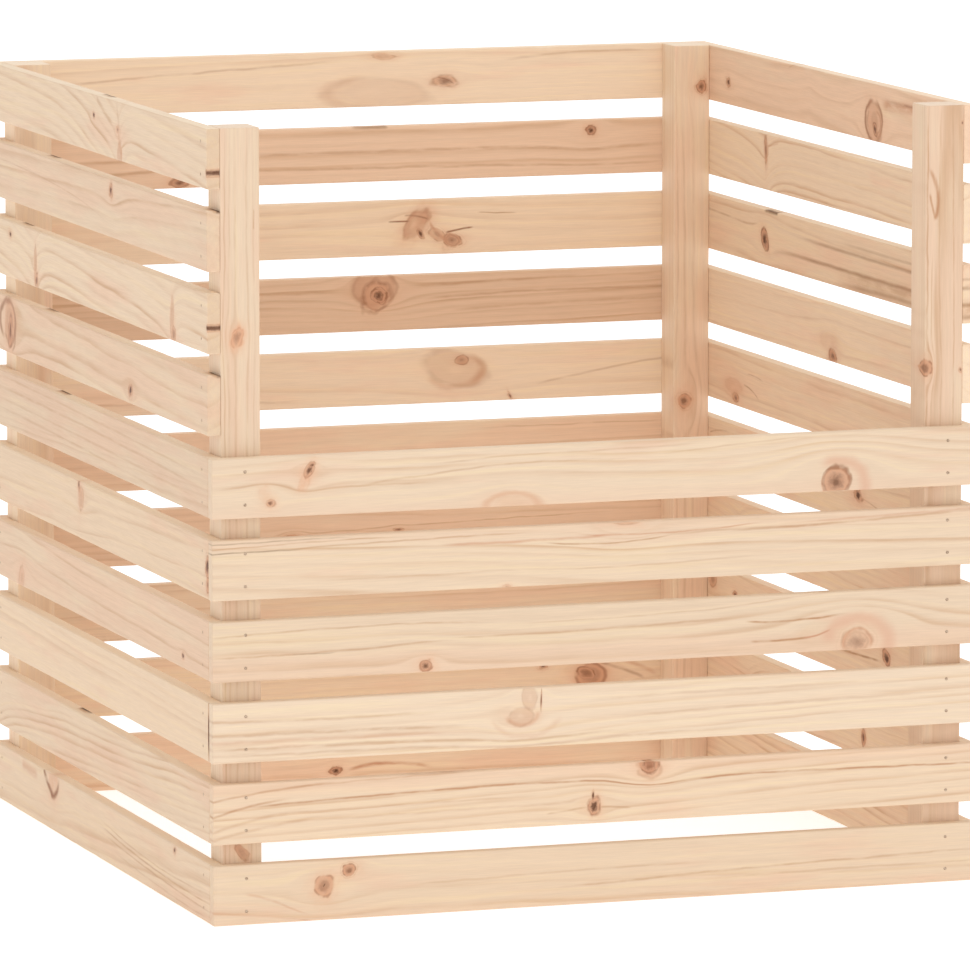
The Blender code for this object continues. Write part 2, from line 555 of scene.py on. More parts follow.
def paint_knots(g, colour, height, fields):
    """Each knot over the wood; on a post it narrows with depth, and on a slat it leaves narrow faces free."""
    depth = g.math("MAXIMUM", g.place[1] + (g.half_thickness - KNOT_SURFACE_MM), 0)
    gap = 0 if g.knot_taper else g.narrow * NARROW_KNOT_GAP
    for number, knot in g.numbered(Knot):
        field = fields[number]
        inputs = {"colour": colour, "height": height, "depth": g.place[1], **field}
        inputs["distance"] = depth * (g.knot_taper / knot.radius) + (field["distance"] + gap)
        painted = g.use(KNOT_PAINT, knot, seed=g.seed(number, *PAINT_SEED), **inputs)
        colour, height = painted["colour"], painted["height"]
    return colour, height


def wear_arrises(g, colour):
    """Darkens the arrises: painted shade along each arris, mottled like wear."""
    start, full = ARRIS_WEAR
    near_y = g.smooth(abs(g.place[1]), g.half_thickness - start, g.half_thickness - full)
    near_z = g.smooth(abs(g.place[2]), g.half_width - start, g.half_width - full)
    rub = g.cloud(g.place, RUBBING, g.wood.seed, 3, 0.6)
    return g.mix(near_y * near_z * g.smooth(rub, 0.45, 0.7, 0, 0.4), colour, RUBBED_EDGE)


def new_material(name):
    """A material with its node tree and its shader's sockets."""
    material = bpy.data.materials.new(name)
    material.use_nodes = True
    return material, material.node_tree, material.node_tree.nodes["Principled BSDF"].inputs


def pine(name, size_mm, looks, timber):
    """Pine for one board, from its own row in LOOKS and its wall's timber."""
    material, tree, shader = new_material(name)
    g = PineGraph(tree, size_mm, looks, timber)
    shift, fields = bend_grain(g)
    pith_y, pith_z = g.wood.pith
    grain = g.use(RINGS, g.wood, shift=shift, pith_y=pith_y, pith_z=pith_z)
    colour, height = plain_wood(g, grain)
    colour = draw_lines(g, colour, shift, follows=True)
    colour = draw_arcs(g, colour)
    colour, height = paint_knots(g, colour, height, fields)
    colour = draw_lines(g, colour, shift, follows=False)
    # Base colour, with painted shade along the arrises
    g.set(shader["Base Color"], wear_arrises(g, colour))
    g.set(shader["Roughness"], g.smooth(grain["fibre"], 0.3, 0.7, *PINE_ROUGHNESS))
    g.set(shader["Normal"], g.bump(height, *PINE_BUMP))
    shader["Specular IOR Level"].default_value = PINE_SPECULAR
    return material


def finished(bm, name):
    """Write a bmesh out as a mesh."""
    mesh = bpy.data.meshes.new(name)
    bm.to_mesh(mesh)
    bm.free()
    return mesh


def board_section(thickness, width, r):
    """The outline across a board: rows of y, z, the corner it belongs to or -1, and its share of a dent."""
    half_t, half_w = thickness / 2, width / 2
    wide = round(width / ACROSS_STEP)
    thin = round(thickness / ACROSS_STEP)
    loop = []
    for number, (sy, sz) in enumerate(CORNERS):
        cy, cz = sy * (half_t - r), sz * (half_w - r)
        start = math.pi * (1 + number / 2)
        for step in range(ARC_STEPS):
            a = start + step * ARC_TURN
            share = 1 if step in (1, 2) else ARRIS_PULL
            loop.append((cy + r * math.cos(a), cz + r * math.sin(a), number, share))
        ny, nz = CORNERS[(number + 1) % 4]
        ay, az = loop[-1][:2]
        if number % 2 == 0:
            by, bz = ny * (half_t - r), nz * half_w
            steps, span = thin, abs(by - ay)
        else:
            by, bz = ny * half_t, nz * (half_w - r)
            steps, span = wide, abs(bz - az)
        first = EDGE_SUPPORT / span
        inner = [first] + [k / (steps + 1) for k in range(1, steps + 1)] + [1 - first]
        for f in inner:
            loop.append((ay + (by - ay) * f, az + (bz - az) * f, -1, 0))
    return np.array(loop)


def board_stations(length, r):
    """Places along a board, closer together where its ends are rounded."""
    ends = [r * part for part in END_STEPS] + [r + EDGE_SUPPORT]
    reach = length / 2 - FIRST_STATION * r
    middle = list(np.linspace(-reach, reach, round(length / STATION)))
    return np.array([-length / 2 + e for e in ends] + middle + [length / 2 - e for e in reversed(ends)])


def dent_arrises(points, loop, xs, length, dice):
    """Press long shallow waves and a few short dents into each arris."""
    for number, (sy, sz) in enumerate(CORNERS):
        dent = np.zeros(len(xs))
        for _ in range(ARRIS_WAVES):
            wave = dice.uniform(*ARRIS_WAVE_MM) * MM
            rise = np.sin(xs / wave + dice.uniform(*ARRIS_WAVE_START))
            dent += ARRIS_WAVE_HEIGHT * (0.5 + 0.5 * rise)
        for _ in range(dice.randint(*DENT_COUNT)):
            at = dice.uniform(-0.5, 0.5) * length
            reach = dice.uniform(*DENT_REACH_MM) * MM
            deep = dice.uniform(*DENT_DEPTH_MM) * MM
            dent += deep * np.exp(-(((xs - at) / reach) ** 2))
        own = np.where(loop[:, 2] == number, loop[:, 3], 0)
        points[:, :, 1] -= sy * dent[:, None] * own[None, :] * DENT_SHARE
        points[:, :, 2] -= sz * dent[:, None] * own[None, :] * DENT_SHARE


def board_mesh(name, length, thickness, width, r, dice):
    """A planed board along X: eased arrises with small dents, eased ends, fine enough to shade well."""
    loop = board_section(thickness, width, r)
    xs = board_stations(length, r)
    n, m = len(xs), len(loop)
    inset = np.maximum(0, r - (length / 2 - np.abs(xs)))
    shrink = r - np.sqrt(np.maximum(r * r - inset * inset, 0))
    points = np.zeros((n, m, 3))
    points[:, :, 0] = xs[:, None]
    points[:, :, 1] = loop[None, :, 0] * (1 - shrink[:, None] / (thickness / 2))
    points[:, :, 2] = loop[None, :, 1] * (1 - shrink[:, None] / (width / 2))
    dent_arrises(points, loop, xs, length, dice)
    faces = []
    for i in range(n - 1):
        for j in range(m):
            k = (j + 1) % m
            faces.append((i * m + j, i * m + k, (i + 1) * m + k, (i + 1) * m + j))
    faces.append(tuple(range(m - 1, -1, -1)))
    faces.append(tuple((n - 1) * m + j for j in range(m)))
    mesh = bpy.data.meshes.new(name)
    mesh.from_pydata(points.reshape(-1, 3).tolist(), [], faces)
    bm = bmesh.new()
    bm.from_mesh(mesh)
    bmesh.ops.recalc_face_normals(bm, faces=bm.faces)
    bm.to_mesh(mesh)
    bm.free()
    return mesh


def ring_points(radius, count, x, y, z):
    """A circle round Y at one height."""
    turn = 2 * math.pi / count
    return [(x + radius * math.cos(k * turn), y, z + radius * math.sin(k * turn)) for k in range(count)]


def turned(bm, profile, count, x, z):
    """A small closed body of revolution round Y, from (radius, y) pairs that end on the axis."""
    rows = []
    for radius, y in profile:
        points = [(x, y, z)] if radius == 0 else ring_points(radius, count, x, y, z)
        rows.append([bm.verts.new(p) for p in points])
    for a, b in zip(rows, rows[1:]):
        for k in range(count):
            n = (k + 1) % count
            quad = [a[k % len(a)], a[n % len(a)], b[n % len(b)], b[k % len(b)]]
            quad = [v for i, v in enumerate(quad) if v not in quad[:i]]
            if len(quad) > 2:
                bm.faces.new(quad)


def add_object(name, mesh):
    """Put a mesh into the scene."""
    obj = bpy.data.objects.new(name, mesh)
    bpy.context.scene.collection.objects.link(obj)
    return obj


def seats_mesh(thickness, spots):
    """Round pins that stand through the board's outer face, at -Y."""
    face = -thickness / 2
    profile = [(0, face - CUT_CLEARANCE), (SEAT_RADIUS, face - CUT_CLEARANCE), (SEAT_RADIUS, face)]
    profile += [(SEAT_BOTTOM_RADIUS, face + SEAT_DEPTH), (0, face + SEAT_DEPTH)]
    bm = bmesh.new()
    for x, z in spots:
        turned(bm, profile, SEAT_SIDES, x, z)
    bmesh.ops.recalc_face_normals(bm, faces=bm.faces)
    return finished(bm, "seats")


def cut_seats(obj, thickness, spots):
    """Cut the nail seats into the board."""
    mesh = seats_mesh(thickness, spots)
    cutter = add_object("seats", mesh)
    cut = obj.modifiers.new("seats", "BOOLEAN")
    cut.operation = "DIFFERENCE"
    cut.solver = "EXACT"
    cut.object = cutter
    bpy.context.view_layer.update()
    depsgraph = bpy.context.evaluated_depsgraph_get()
    done = bpy.data.meshes.new_from_object(obj.evaluated_get(depsgraph))
    obj.modifiers.clear()
    old = obj.data
    obj.data = done
    bpy.data.meshes.remove(old)
    bpy.data.objects.remove(cutter, do_unlink=True)
    bpy.data.meshes.remove(mesh)


# What a board looks like. Lengths are in the board's own mm, from its middle: x along it, z across it.
# The log: seed, the pith's place behind and beside the face, ring width, taper, how much the rings sway
# The wood: brightness, warmth, share of pink, contrast of late wood, a pinker band from one z to
# another with its strength, and how sawn its ends look
Wood = namedtuple("Wood", "seed pith ring taper wave light warm pink late band end", defaults=(None, 0.08))
# A knot: place, radius, how far it is stretched and turned, strength of its dark heart and of its disc,
# how close its rings are, strength of its halo, and how far it bends the grain
Knot = namedtuple("Knot", "x z radius stretch angle dark disc rings halo flow")
# A growth line from one point to another, with the rise of its arc
Line = namedtuple("Line", "x0 z0 x1 z1 bow width strength tone follows", defaults=(BROWN, True))
# A branch that pulls the grain to a point: place, height, reach on both sides, how blunt
Spike = namedtuple("Spike", "x height before after blunt", defaults=(0.08,))
# Part of a ring round a point: it opens toward an angle, and spread is the cosine where it ends
Arc = namedtuple("Arc", "x z radius stretch toward spread width strength tone", defaults=(KNOT,))

# Resin pockets sit on the upper arris, and dark bands have fewer gaps than other lines
ARRIS_Z = 29.5
RESIN_HALF = 22
RESIN_WIDTH = 4
BAND_GAPS = 0.35


def mark(x0, z0, x1, z1, bow, width, strength, tone=BROWN):
    """A stroke that lies over everything and does not follow the grain."""
    return Line(x0, z0, x1, z1, bow, width, strength, tone, False)


def resin(x, strength=1):
    """A short dark resin pocket on the upper arris."""
    return mark(x - RESIN_HALF, ARRIS_Z, x + RESIN_HALF, ARRIS_Z, 0, RESIN_WIDTH, strength, RESIN)


# Each board, with its marks where the photograph shows them
LOOKS = {}
LOOKS["front_slat_01"] = (
    Wood(11.3, (34, -70), 10, 0.012, 5, 1, -0.01, 0.1, 0.34, (-12, -30, 0.55)),
    Knot(-301, 15, 4.8, 1.6, 60, 1.25, 0.6, 7, 0.8, 1.6),
    Knot(-298, 20, 2.6, 1.4, 20, 0.9, 0.3, 4, 0.2, 1),
    Knot(-306, 3, 5, 1.6, 60, 0, 0.08, 6, 0.6, 1),
    Knot(-341, -15.5, 3.8, 1.2, 15, 1.3, 0.5, 6, 0.7, 1.5),
    Knot(-346, -9, 7, 1.3, 120, 0, 0.05, 3, 0.3, 1),
    Knot(-92, -30, 12, 1.9, 0, 0, 0.1, 3, 0.3, 1.3),
    Knot(247, -21, 13.5, 1.05, 0, 0.72, 0.85, 7, 0.22, 1.9),
    Arc(-92, -31, 15, 1.9, 90, -0.3, 0.28, 0.45),
    Arc(247, -21, 14, 1.05, 120, -0.9, 0.14, 0.5),
    Arc(250, -23, 25, 1.15, 40, -0.1, 0.36, 0.65, ROSE),
    Line(-400, -2, -160, -6, 2, 1.6, 0.4),
    Line(-260, -3, 40, 9, 3, 1.8, 0.4),
    Line(-180, 12, 120, 20, 1, 1.6, 0.3),
    Line(60, 12, 230, 14, 2, 1.6, 0.3),
)
LOOKS["front_slat_02"] = (
    Wood(23.1, (46, -38), 5.6, 0.02, 3, 1, 0, 0.05, 0.55, (14, 26, 0.5)),
    Knot(26, 34, 8, 2.2, 0, 0, 0.25, 7, 0.7, 1.9),
    Knot(-98, -30, 3, 1.6, 0, 0.4, 0.2, 5, 0.55, 1.4),
    mark(-440, 14.5, -300, 18, 1, 1.4, 0.8, GREY),
    mark(-430, 19.5, -200, 26, 1, 1.2, 0.55),
    mark(-430, 25.5, -250, 28, 0, 1.3, 0.6, GREY),
    mark(-330, 18, -60, 24, 1, 1.6, 0.5),
    mark(-170, 15, 30, 18, -1, 2.4, 0.55, RED),
    mark(-60, 13, 80, 16, -5, 1.4, 0.7),
    mark(-30, 19, 180, 24, -4, 1.3, 0.6, RED),
    mark(60, 16, 260, 19, 0, 2.2, 0.4),
    mark(130, 15.5, 440, 28, -1, 2.2, 0.5),
    mark(180, 20, 440, 29, 0, 2, 0.4, RED),
    Line(-300, -14, 200, -8, 0, 1.6, 0.28),
)
LOOKS["front_slat_03"] = (
    Wood(31.9, (30, 75), 12, -0.01, 6, 0.985, 0, 0.05, 0.5, (-2, -16, 0.75)),
    Knot(-182, -23.5, 6, 1.15, 0, 0.85, 0.75, 8, 0.9, 1.6),
    Knot(271, -22, 13.5, 1.1, 0, 0.42, 0.34, 9, 0.34, 2.3),
    Arc(271, -22, 14, 1.1, 90, -0.6, 0.16, 0.55),
    Arc(272, -22, 24, 1.35, 70, -0.5, 0.4, 0.65, ROSE),
    Line(-412, -6, -140, -2, -1, 1.8, 0.5),
    Line(-412, 13, -100, 14, 4, 1.8, 0.45),
    Line(-160, 0, 160, 4, 1, 1.8, 0.45),
    Line(-320, -6.5, -272, -6, 0, 1.1, 0.55, GREY),
    mark(156, -15.5, 224, -15, -1, 2, 1),
    mark(212, -15, 244, -7, -2, 1.6, 0.9, RED),
    mark(150, 4, 262, 8, -3, 1.8, 1),
    Line(-100, 12, 380, 13, 1, 1.3, 0.28),
)
LOOKS["front_slat_04"] = (
    Wood(47.7, (40, 90), 8, 0.022, 4.5, 1.04, -0.045, 0, 0.31),
    Knot(-74, 20, 8, 1.5, 90, 0, 0.22, 2, 0.12, 1.3),
    Knot(-84, 2, 9, 1.5, 0, 0, 0.2, 2, 0.25, 1.3),
    Knot(-62.3, 17, 1.2, 10, 88, 0.9, 0.6, 3, 0.2, 0.5),
    Arc(-82, 5, 12, 1.35, -80, -0.1, 0.3, 0.45),
    Arc(-78, 6, 24, 1.5, -90, 0.1, 0.16, 0.22),
    Line(-430, 12, -160, 10, -1, 2.6, 0.4),
    Line(-430, -2, -130, -3, 0, 3, 0.48),
    Line(-430, -9, -110, -9, 0, 3.4, 0.28, RED),
    Line(-430, -16, 60, -15, 0, 2.8, 0.46),
    Line(-430, -22.5, 200, -21, 0, 2.4, 0.36),
    Line(20, -3, 400, 4, 1, 2.6, 0.28),
    Line(-20, 14, 300, 18, 1, 2.6, 0.26),
)
LOOKS["front_slat_05"] = (
    Wood(52.4, (32, 84), 8, 0.03, 3.5, 1.03, 0.015, 0.1, 0.5, (10, 24, 0.7)),
    Knot(51, 27, 12.5, 1.05, 0, 0, 0.3, 4, 0.5, 1.05),
    Knot(51, 27, 9.5, 1.05, 0, 0.9, 0.95, 4, 0.2, 0.5),
    Knot(-7, -12, 6.2, 1.3, 80, 1.35, 0.7, 6, 0.9, 1.5),
    Knot(-8, -1, 2, 3.2, 86, 1.1, 0.3, 3, 0.3, 0.5),
    Line(-445, -22, -318, 12, 8, 2.1, 0.72, GROWTH),
    Line(-372, 6, -30, 14.5, 2, 1.8, 0.85, GROWTH),
    Line(-110, 13.5, 475, 9, 1, 1.8, 0.9, GROWTH),
    Line(-445, 4, -270, 27, 4, 2, 0.6, GROWTH),
    Line(-330, 24, -120, 30, 0, 1.6, 0.4, GROWTH),
    Line(-440, -30, -300, 2, 5, 2.8, 0.38, GROWTH),
    Line(-440, -36, -280, -6, 5, 2.8, 0.38, GROWTH),
    Line(-330, -2, -60, 2, 1, 2, 0.3, GROWTH),
    Line(-300, -10, 60, -6, 1, 2.2, 0.28, GROWTH),
    mark(45.5, 25, 56.5, 25, 0, 11, 0.85, RED),
    mark(48, 25, 55, 25, 0, 6.5, 0.5, KNOT_LINE),
    mark(-58, -17, -12, -13, 0, 1.8, 0.55),
    mark(-2, -13, 34, -15, 0, 1.8, 0.55),
)
LOOKS["front_slat_06"] = (
    Wood(66.2, (38, 60), 10, -0.02, 5, 0.995, 0.015, 0.12, 0.42, (-16, -30, 0.6)),
    Knot(-288, 3, 9, 1.25, 62, 0.3, 0.62, 4, 0.8, 1.7),
    Knot(-287, 5, 1.2, 3.2, 62, 1, 0.1, 3, 0, 1),
    Knot(-261, 18, 6, 1.2, 35, 0.55, 0.85, 5, 0.7, 1.6),
    Line(-430, -15, -280, -24, 3, 2.2, 0.4, RED),
    Line(-370, 2, -300, -14, 2, 2, 0.35, RED),
    Line(-340, -29, -180, -27, 2, 2.4, 0.4, RED),
    Line(-60, -12, 430, 3, 2, 2, 0.5),
    Line(-200, 1, 120, 6, 1, 2, 0.28),
    Line(100, -12, 430, -9, 1, 2, 0.3),
)
LOOKS["left_slat_01"] = (
    Wood(12.8, (-30, 62), 11, -0.08, 5, 0.99, 0, 0.12, 0.68, end=0.3),
    Knot(-3, 8.4, 4.6, 1.2, 0, 1.1, 0.2, 4, 0.4, 1.4),
    Knot(82, 1, 4, 1.3, 0, 0.5, 0.2, 4, 0.6, 1.2),
    Knot(88, -22, 9, 1.3, 90, 0, 0.3, 3, 0.4, 0.8),
    Knot(386, -14, 3.6, 1, 0, 0.8, 0.35, 4, 0.5, 0.6),
    resin(20),
    mark(4, 29, 66, 6, -3, 5, 0.42),
    mark(78, 24, 90, 0, 0, 5, 0.3),
    mark(82, -2, 98, -28, 0, 6, 0.5, KNOT),
    mark(383, -13, 393, -13, 0, 2.8, 1, KNOT_CORE),
    mark(383, -10, 386, -13, 0, 2, 0.7),
    Spike(86, 28, 80, 18),
    Spike(-140, -16, 170, 110, 1),
)
LOOKS["left_slat_02"] = (
    Wood(5.6, (-40, -80), 12, -0.03, 6, 0.96, 0.01, 0.3, 0.7, (6, 24, 0.55)),
    Knot(56, 18, 6.6, 1.1, 60, 0.95, 0.65, 5, 0.8, 1.4),
    resin(-181),
    resin(380),
    Line(-386, 12, 60, -8, 4, 1.3, 0.34),
    Spike(66, 7, 70, 40, 0.6),
)
LOOKS["left_slat_03"] = (
    Wood(12.8, (-30, 62), 11, -0.045, 5, 0.995, 0, 0.12, 0.68, end=0.3),
    Knot(-318, 16, 4.4, 1.4, 0, 1.1, 0.2, 4, 0.4, 1.4),
    Knot(-222, -4, 5.4, 3.4, 86, 0, 0.4, 3, 0.4, 1.2),
    Knot(-219, -22, 6.5, 1.2, 86, 0.6, 0.6, 4, 0.6, 0.6),
    Knot(268, -6, 6, 3.2, 84, 0, 0.35, 3, 0.4, 1.2),
    Knot(274, -22, 7, 1.2, 84, 0.3, 0.5, 4, 0.6, 0.6),
    Knot(386, -4.5, 3.6, 1, 0, 0.8, 0.35, 4, 0.5, 0.6),
    resin(-283),
    mark(383, -3.5, 393, -3.5, 0, 2.8, 1, KNOT_CORE),
    Spike(-224, 24, 70, 20),
    Spike(268, 18, 90, 16),
)
LOOKS["left_slat_04"] = (
    Wood(8.4, (-36, 58), 11, -0.035, 6, 0.965, 0.02, 0.3, 0.68),
    Knot(-324, 2, 22, 1.08, 84, 0, 0.5, 3, 0.5, 1.1),
    Knot(-321, -6, 8, 2.2, 84, 0.7, 0.9, 4, 0.6, 0.6),
    Knot(122, -16, 7.6, 1.05, 60, 1.15, 0.6, 5, 0.6, 1.4),
    Arc(-324, 2, 22, 1.05, 15, -0.3, 0.22, 0.8, KNOT_LINE),
    Arc(-326, 4, 22, 1.5, 150, 0, 0.22, 0.8, KNOT_LINE),
    Arc(-318, -12, 14, 1.1, 0, 0, 0.24, 0.55, KNOT_LINE),
    resin(378),
    resin(-192, 0.6),
)
LOOKS["left_slat_05"] = (
    Wood(71.5, (-44, -66), 8, -0.02, 4, 0.93, 0.02, 0.25, 0.8),
    resin(-148),
    Line(-386, 24, 400, 8, 2, 2.2, 0.3),
    Line(-386, 12, 400, -4, 3, 2.4, 0.36),
    Line(-386, 0, 400, -16, 2, 2.2, 0.3),
    Line(-386, -10, 300, -26, 2, 2.2, 0.3),
)
LOOKS["left_slat_06"] = (
    Wood(83.9, (-34, 88), 9, 0.03, 5, 0.98, 0.03, 0.1, 0.4),
    Knot(-66, 25, 5, 1.4, 88, 1, 0.4, 4, 0.7, 1.4),
    Knot(-58, 13, 9, 1.6, 88, 0, 0.35, 3, 0.5, 1.1),
    Knot(383, 3, 6, 1.6, 86, 1.5, 0.8, 5, 0.6, 1),
    Knot(384, -15, 5, 1.5, 86, 0.3, 0.8, 5, 0.7, 1),
)
LOOKS["left_slat_07"] = (
    Wood(19.2, (-40, 74), 7, -0.025, 4, 0.965, 0.015, 0.32, 0.5),
    Knot(300, -17, 3.6, 1.5, 0, 0.95, 0.2, 4, 0.4, 1.4),
    Knot(-283, -20, 10, 1.4, 70, 0, 0.3, 4, 0.5, 1.4),
)
LOOKS["left_slat_08"] = (
    Wood(27.6, (-48, -84), 9, 0.02, 5, 1.01, 0.015, 0.05, 0.3),
    Knot(385.5, 0, 2.4, 13, 90, 1.6, 0.6, 3, 0, 0.3),
)
LOOKS["left_slat_09"] = (
    Wood(35.5, (-24, 60), 8, 0.04, 5, 0.975, 0, 0.2, 0.75),
    resin(-80),
    Spike(-400, 26, 60, 60),
)
LOOKS["left_slat_10"] = (
    Wood(43.3, (-30, 50), 9, 0.04, 6, 0.99, 0, 0.16, 0.5),
    Knot(-168, 22, 15, 1.3, 90, 0, 0.1, 3, 0.6, 1),
    Knot(268, 24, 4.6, 1.5, 20, 1, 0.3, 4, 0.5, 1.4),
    mark(-208, 32, -166, 6, -3, 6, 0.9, KNOT_LINE),
    mark(-180, 8, -144, 26, -8, 6, 0.9, KNOT_LINE),
    mark(-290, 22, -225, 19, 0, 9, 0.5, KNOT),
    mark(0, 6, 420, -9, -6, 1.7, 0.6),
    mark(0, 12, 420, 1, -9, 1.5, 0.45),
    mark(20, -2, 420, -18, -3, 1.6, 0.5),
    mark(60, -14, 400, -25, -3, 1.6, 0.35),
)
LOOKS["rear_slat_01"] = (
    Wood(54.4, (44, -70), 11, 0.01, 5, 1.05, 0, 0.08, 0.4),
    Knot(-101, -4, 6, 1.9, 0, 0.55, 0.4, 6, 0.7, 1.6),
    Knot(-20, -14, 15, 3.6, 0, 0, 0.12, 2, 0.16, 0.8),
    Knot(-31, 24, 3.6, 3.2, 0, 0, 0.3, 3, 0.6, 1.2),
    Arc(-20, -14, 15.5, 3.6, 10, 0.2, 0.3, 0.26),
    Line(10, 17, 370, -1, 3, 2.2, 0.4),
    Line(-330, 22, -160, 14, 4, 2.2, 0.35),
    mark(-92, 0, -112, -8, 2, 1.2, 0.6, KNOT_LINE),
)
LOOKS["rear_slat_02"] = (
    Wood(63.8, (60, -120), 9, 0.004, 4, 0.965, 0.06, 0.55, 0.55, (4, -16, 0.6)),
    Knot(-266, 18, 5.6, 1.1, 0, 1, 0.9, 8, 0.9, 1.9),
    Knot(195, -24, 6, 1.8, 0, 0.7, 0.8, 8, 0.9, 1.6),
    resin(-16, 0.45),
    Line(-380, 3, 370, -2, 2, 3, 0.5),
    Line(-380, -17, 370, -14, 1, 2.4, 0.45),
)
LOOKS["rear_slat_03"] = (
    Wood(72.1, (50, 100), 12, 0.008, 5, 1.02, 0.035, 0.1, 0.4),
    Knot(-66, 3, 9.5, 1.7, -40, 0, 0.36, 2, 0.9, 1.1),
    Knot(-73, -7, 3, 2.4, 62, 1.1, 0.6, 4, 0.5, 1.2),
    Knot(-108, -15, 7.5, 1.3, 0, 0.45, 0.75, 9, 0.8, 1.3),
    Knot(-92, -8, 6, 1.8, 40, 0.2, 0.5, 5, 0.5, 1),
    mark(-54, 13, -84, 8, 2, 1.8, 0.6, KNOT_LINE),
    mark(-82, 6, -106, -16, -3, 3, 0.7, KNOT),
    mark(-100, -7, -134, -2, 1, 1.7, 0.95, KNOT_LINE),
    mark(-36, 7, -62, 7, 0, 1.6, 0.9, KNOT_LINE),
    mark(-136, 14, -184, 12, 0, 1.3, 0.7),
)
LOOKS["rear_slat_04"] = (
    Wood(80.2, (36, -90), 6.6, 0.016, 5, 0.885, 0.095, 0.6, 0.62),
    Knot(-22, 17, 18, 1.35, 6, 0, 0.4, 2, 0.5, 0.8),
    Knot(-24, 7, 13.5, 1.05, -12, 0, 0.75, 6, 0.3, 0.5),
    Knot(-26, 9, 8, 1, 0, 0.9, 1, 11, 0.5, 0.5),
    Arc(-24, 7, 14, 1.05, -60, 0, 0.14, 0.6, KNOT_LINE),
    Arc(-22, 17, 18, 1.35, 175, 0.2, 0.14, 0.35, KNOT_LINE),
    Arc(-22, 17, 18, 1.35, 5, 0.2, 0.14, 0.3, KNOT_LINE),
    Line(-60, 16, -260, 22, 1, 2.4, 0.55),
    Line(-70, 6, -380, 8, 1, 2.2, 0.5),
    Line(8, 14, 370, 8, 2, 2.2, 0.4),
    Line(-100, -8, -380, -4, 1, 2.6, 0.4),
)
LOOKS["rear_slat_05"] = (
    Wood(9.9, (60, 90), 13, 0.006, 5, 1.02, -0.01, 0.12, 0.34),
    Knot(-119, 16, 4.6, 1.7, 0, 0.3, 0.65, 7, 0.5, 1.2),
    Knot(-112, 5, 19, 1.8, 10, 0, 0.2, 2, 0.16, 0.9),
    Knot(-174, -25, 2, 2.4, 60, 0.8, 0.2, 4, 0.6, 1.2),
    Arc(-112, 5, 18, 1.7, -100, 0, 0.32, 0.38),
    Arc(-112, 5, 18, 1.7, 180, 0.4, 0.26, 0.5),
    Line(-200, -12, -380, 14, 1, 2, 0.4),
    Line(60, -22, 370, -15, 0, 2.2, 0.4),
)
LOOKS["rear_slat_06"] = (
    Wood(15.3, (40, -80), 8, 0.01, 4, 0.97, 0.05, 0.35, 0.5),
    Line(-130, 22, -370, 22, 0, 1.4, 0.4),
)
LOOKS["rear_slat_07"] = (
    Wood(26.6, (40, 80), 8, 0.01, 5, 0.94, 0.06, 0.45, 0.55),
    Knot(70, -8, 4, 1.8, 0, 0.2, 0.6, 5, 0.8, 1.5),
    Knot(-48, -4, 2, 3.2, 0, 0.7, 0.5, 3, 0.4, 1.5),
    Line(120, -8, -300, 5, 2, 1.3, 0.5),
)
LOOKS["rear_slat_08"] = (Wood(37.7, (46, -66), 6.4, 0.01, 5, 0.94, 0.06, 0.25, 0.55),)
LOOKS["rear_slat_09"] = (
    Wood(48.8, (46, -90), 8, 0.01, 5, 0.99, 0.06, 0.12, 0.45),
    Knot(-268, -13, 13, 1.4, 8, 0.3, 0.8, 3, 1.1, 1.3),
    Knot(-262, -10, 6.5, 1.6, 20, 0.45, 0.9, 3, 0.6, 0.8),
    Knot(-212, 0, 3.4, 1.6, 0, 1, 0.5, 5, 0.7, 1.5),
    mark(-345, -16, -268, 12, 3, 4, 0.5, KNOT),
    mark(-330, -20, -272, 2, 2, 3, 0.45, KNOT_LINE),
)
LOOKS["rear_slat_10"] = (
    Wood(59.9, (46, 90), 9, 0.01, 5, 1.01, 0.045, 0.3, 0.6),
    Knot(23, -22, 5, 1.3, 0, 1.1, 0.9, 8, 0.8, 1.6),
    mark(12, -22, -90, -25, 7, 3.4, 1, KNOT),
    Line(50, -2, -330, 4, -6, 1.2, 0.4),
)
LOOKS["right_slat_01"] = (
    Wood(14.1, (40, -70), 10, -0.012, 6, 0.985, 0.035, 0.4, 0.36),
    Knot(288, -5, 5.2, 1.3, 0, 1, 0.6, 5, 0.7, 1.5),
    Knot(-140, -8, 20, 1.15, 0, 0, 0.45, 4, 0.5, 1.1),
    Knot(-142, -17, 5.5, 1.5, 60, 1, 0.8, 7, 0.3, 1),
    Arc(-140, -8, 21, 1.15, 0, 0, 0.2, 0.95, KNOT_LINE),
    Arc(-140, -8, 20, 1.1, 180, 0.1, 0.2, 0.8, KNOT_LINE),
    Arc(-146, -10, 11, 1.1, 180, -0.2, 0.22, 0.6, KNOT_LINE),
    Line(110, 22, 42, 29, 2, 1.6, 0.5),
    Line(42, 30, 15, 22, 1, 1.4, 0.4),
    mark(-262, 12, -156, 10, 0, 10, 0.75, KNOT),
    mark(-262, 15, -170, 14, 0, 3, 0.55, KNOT_LINE),
    Spike(45, -7, 30, 40),
)
LOOKS["right_slat_02"] = (
    Wood(22.5, (14, 40), 8.4, 0.02, 6, 1, 0.02, 0.05, 0.66),
    Knot(174, 12, 4.6, 3.2, 88, 0.5, 0.7, 5, 0.7, 1.2),
    mark(172, 17, 134, 23, 0, 1.8, 0.6, KNOT),
    Spike(176, 24, 26, 80),
)
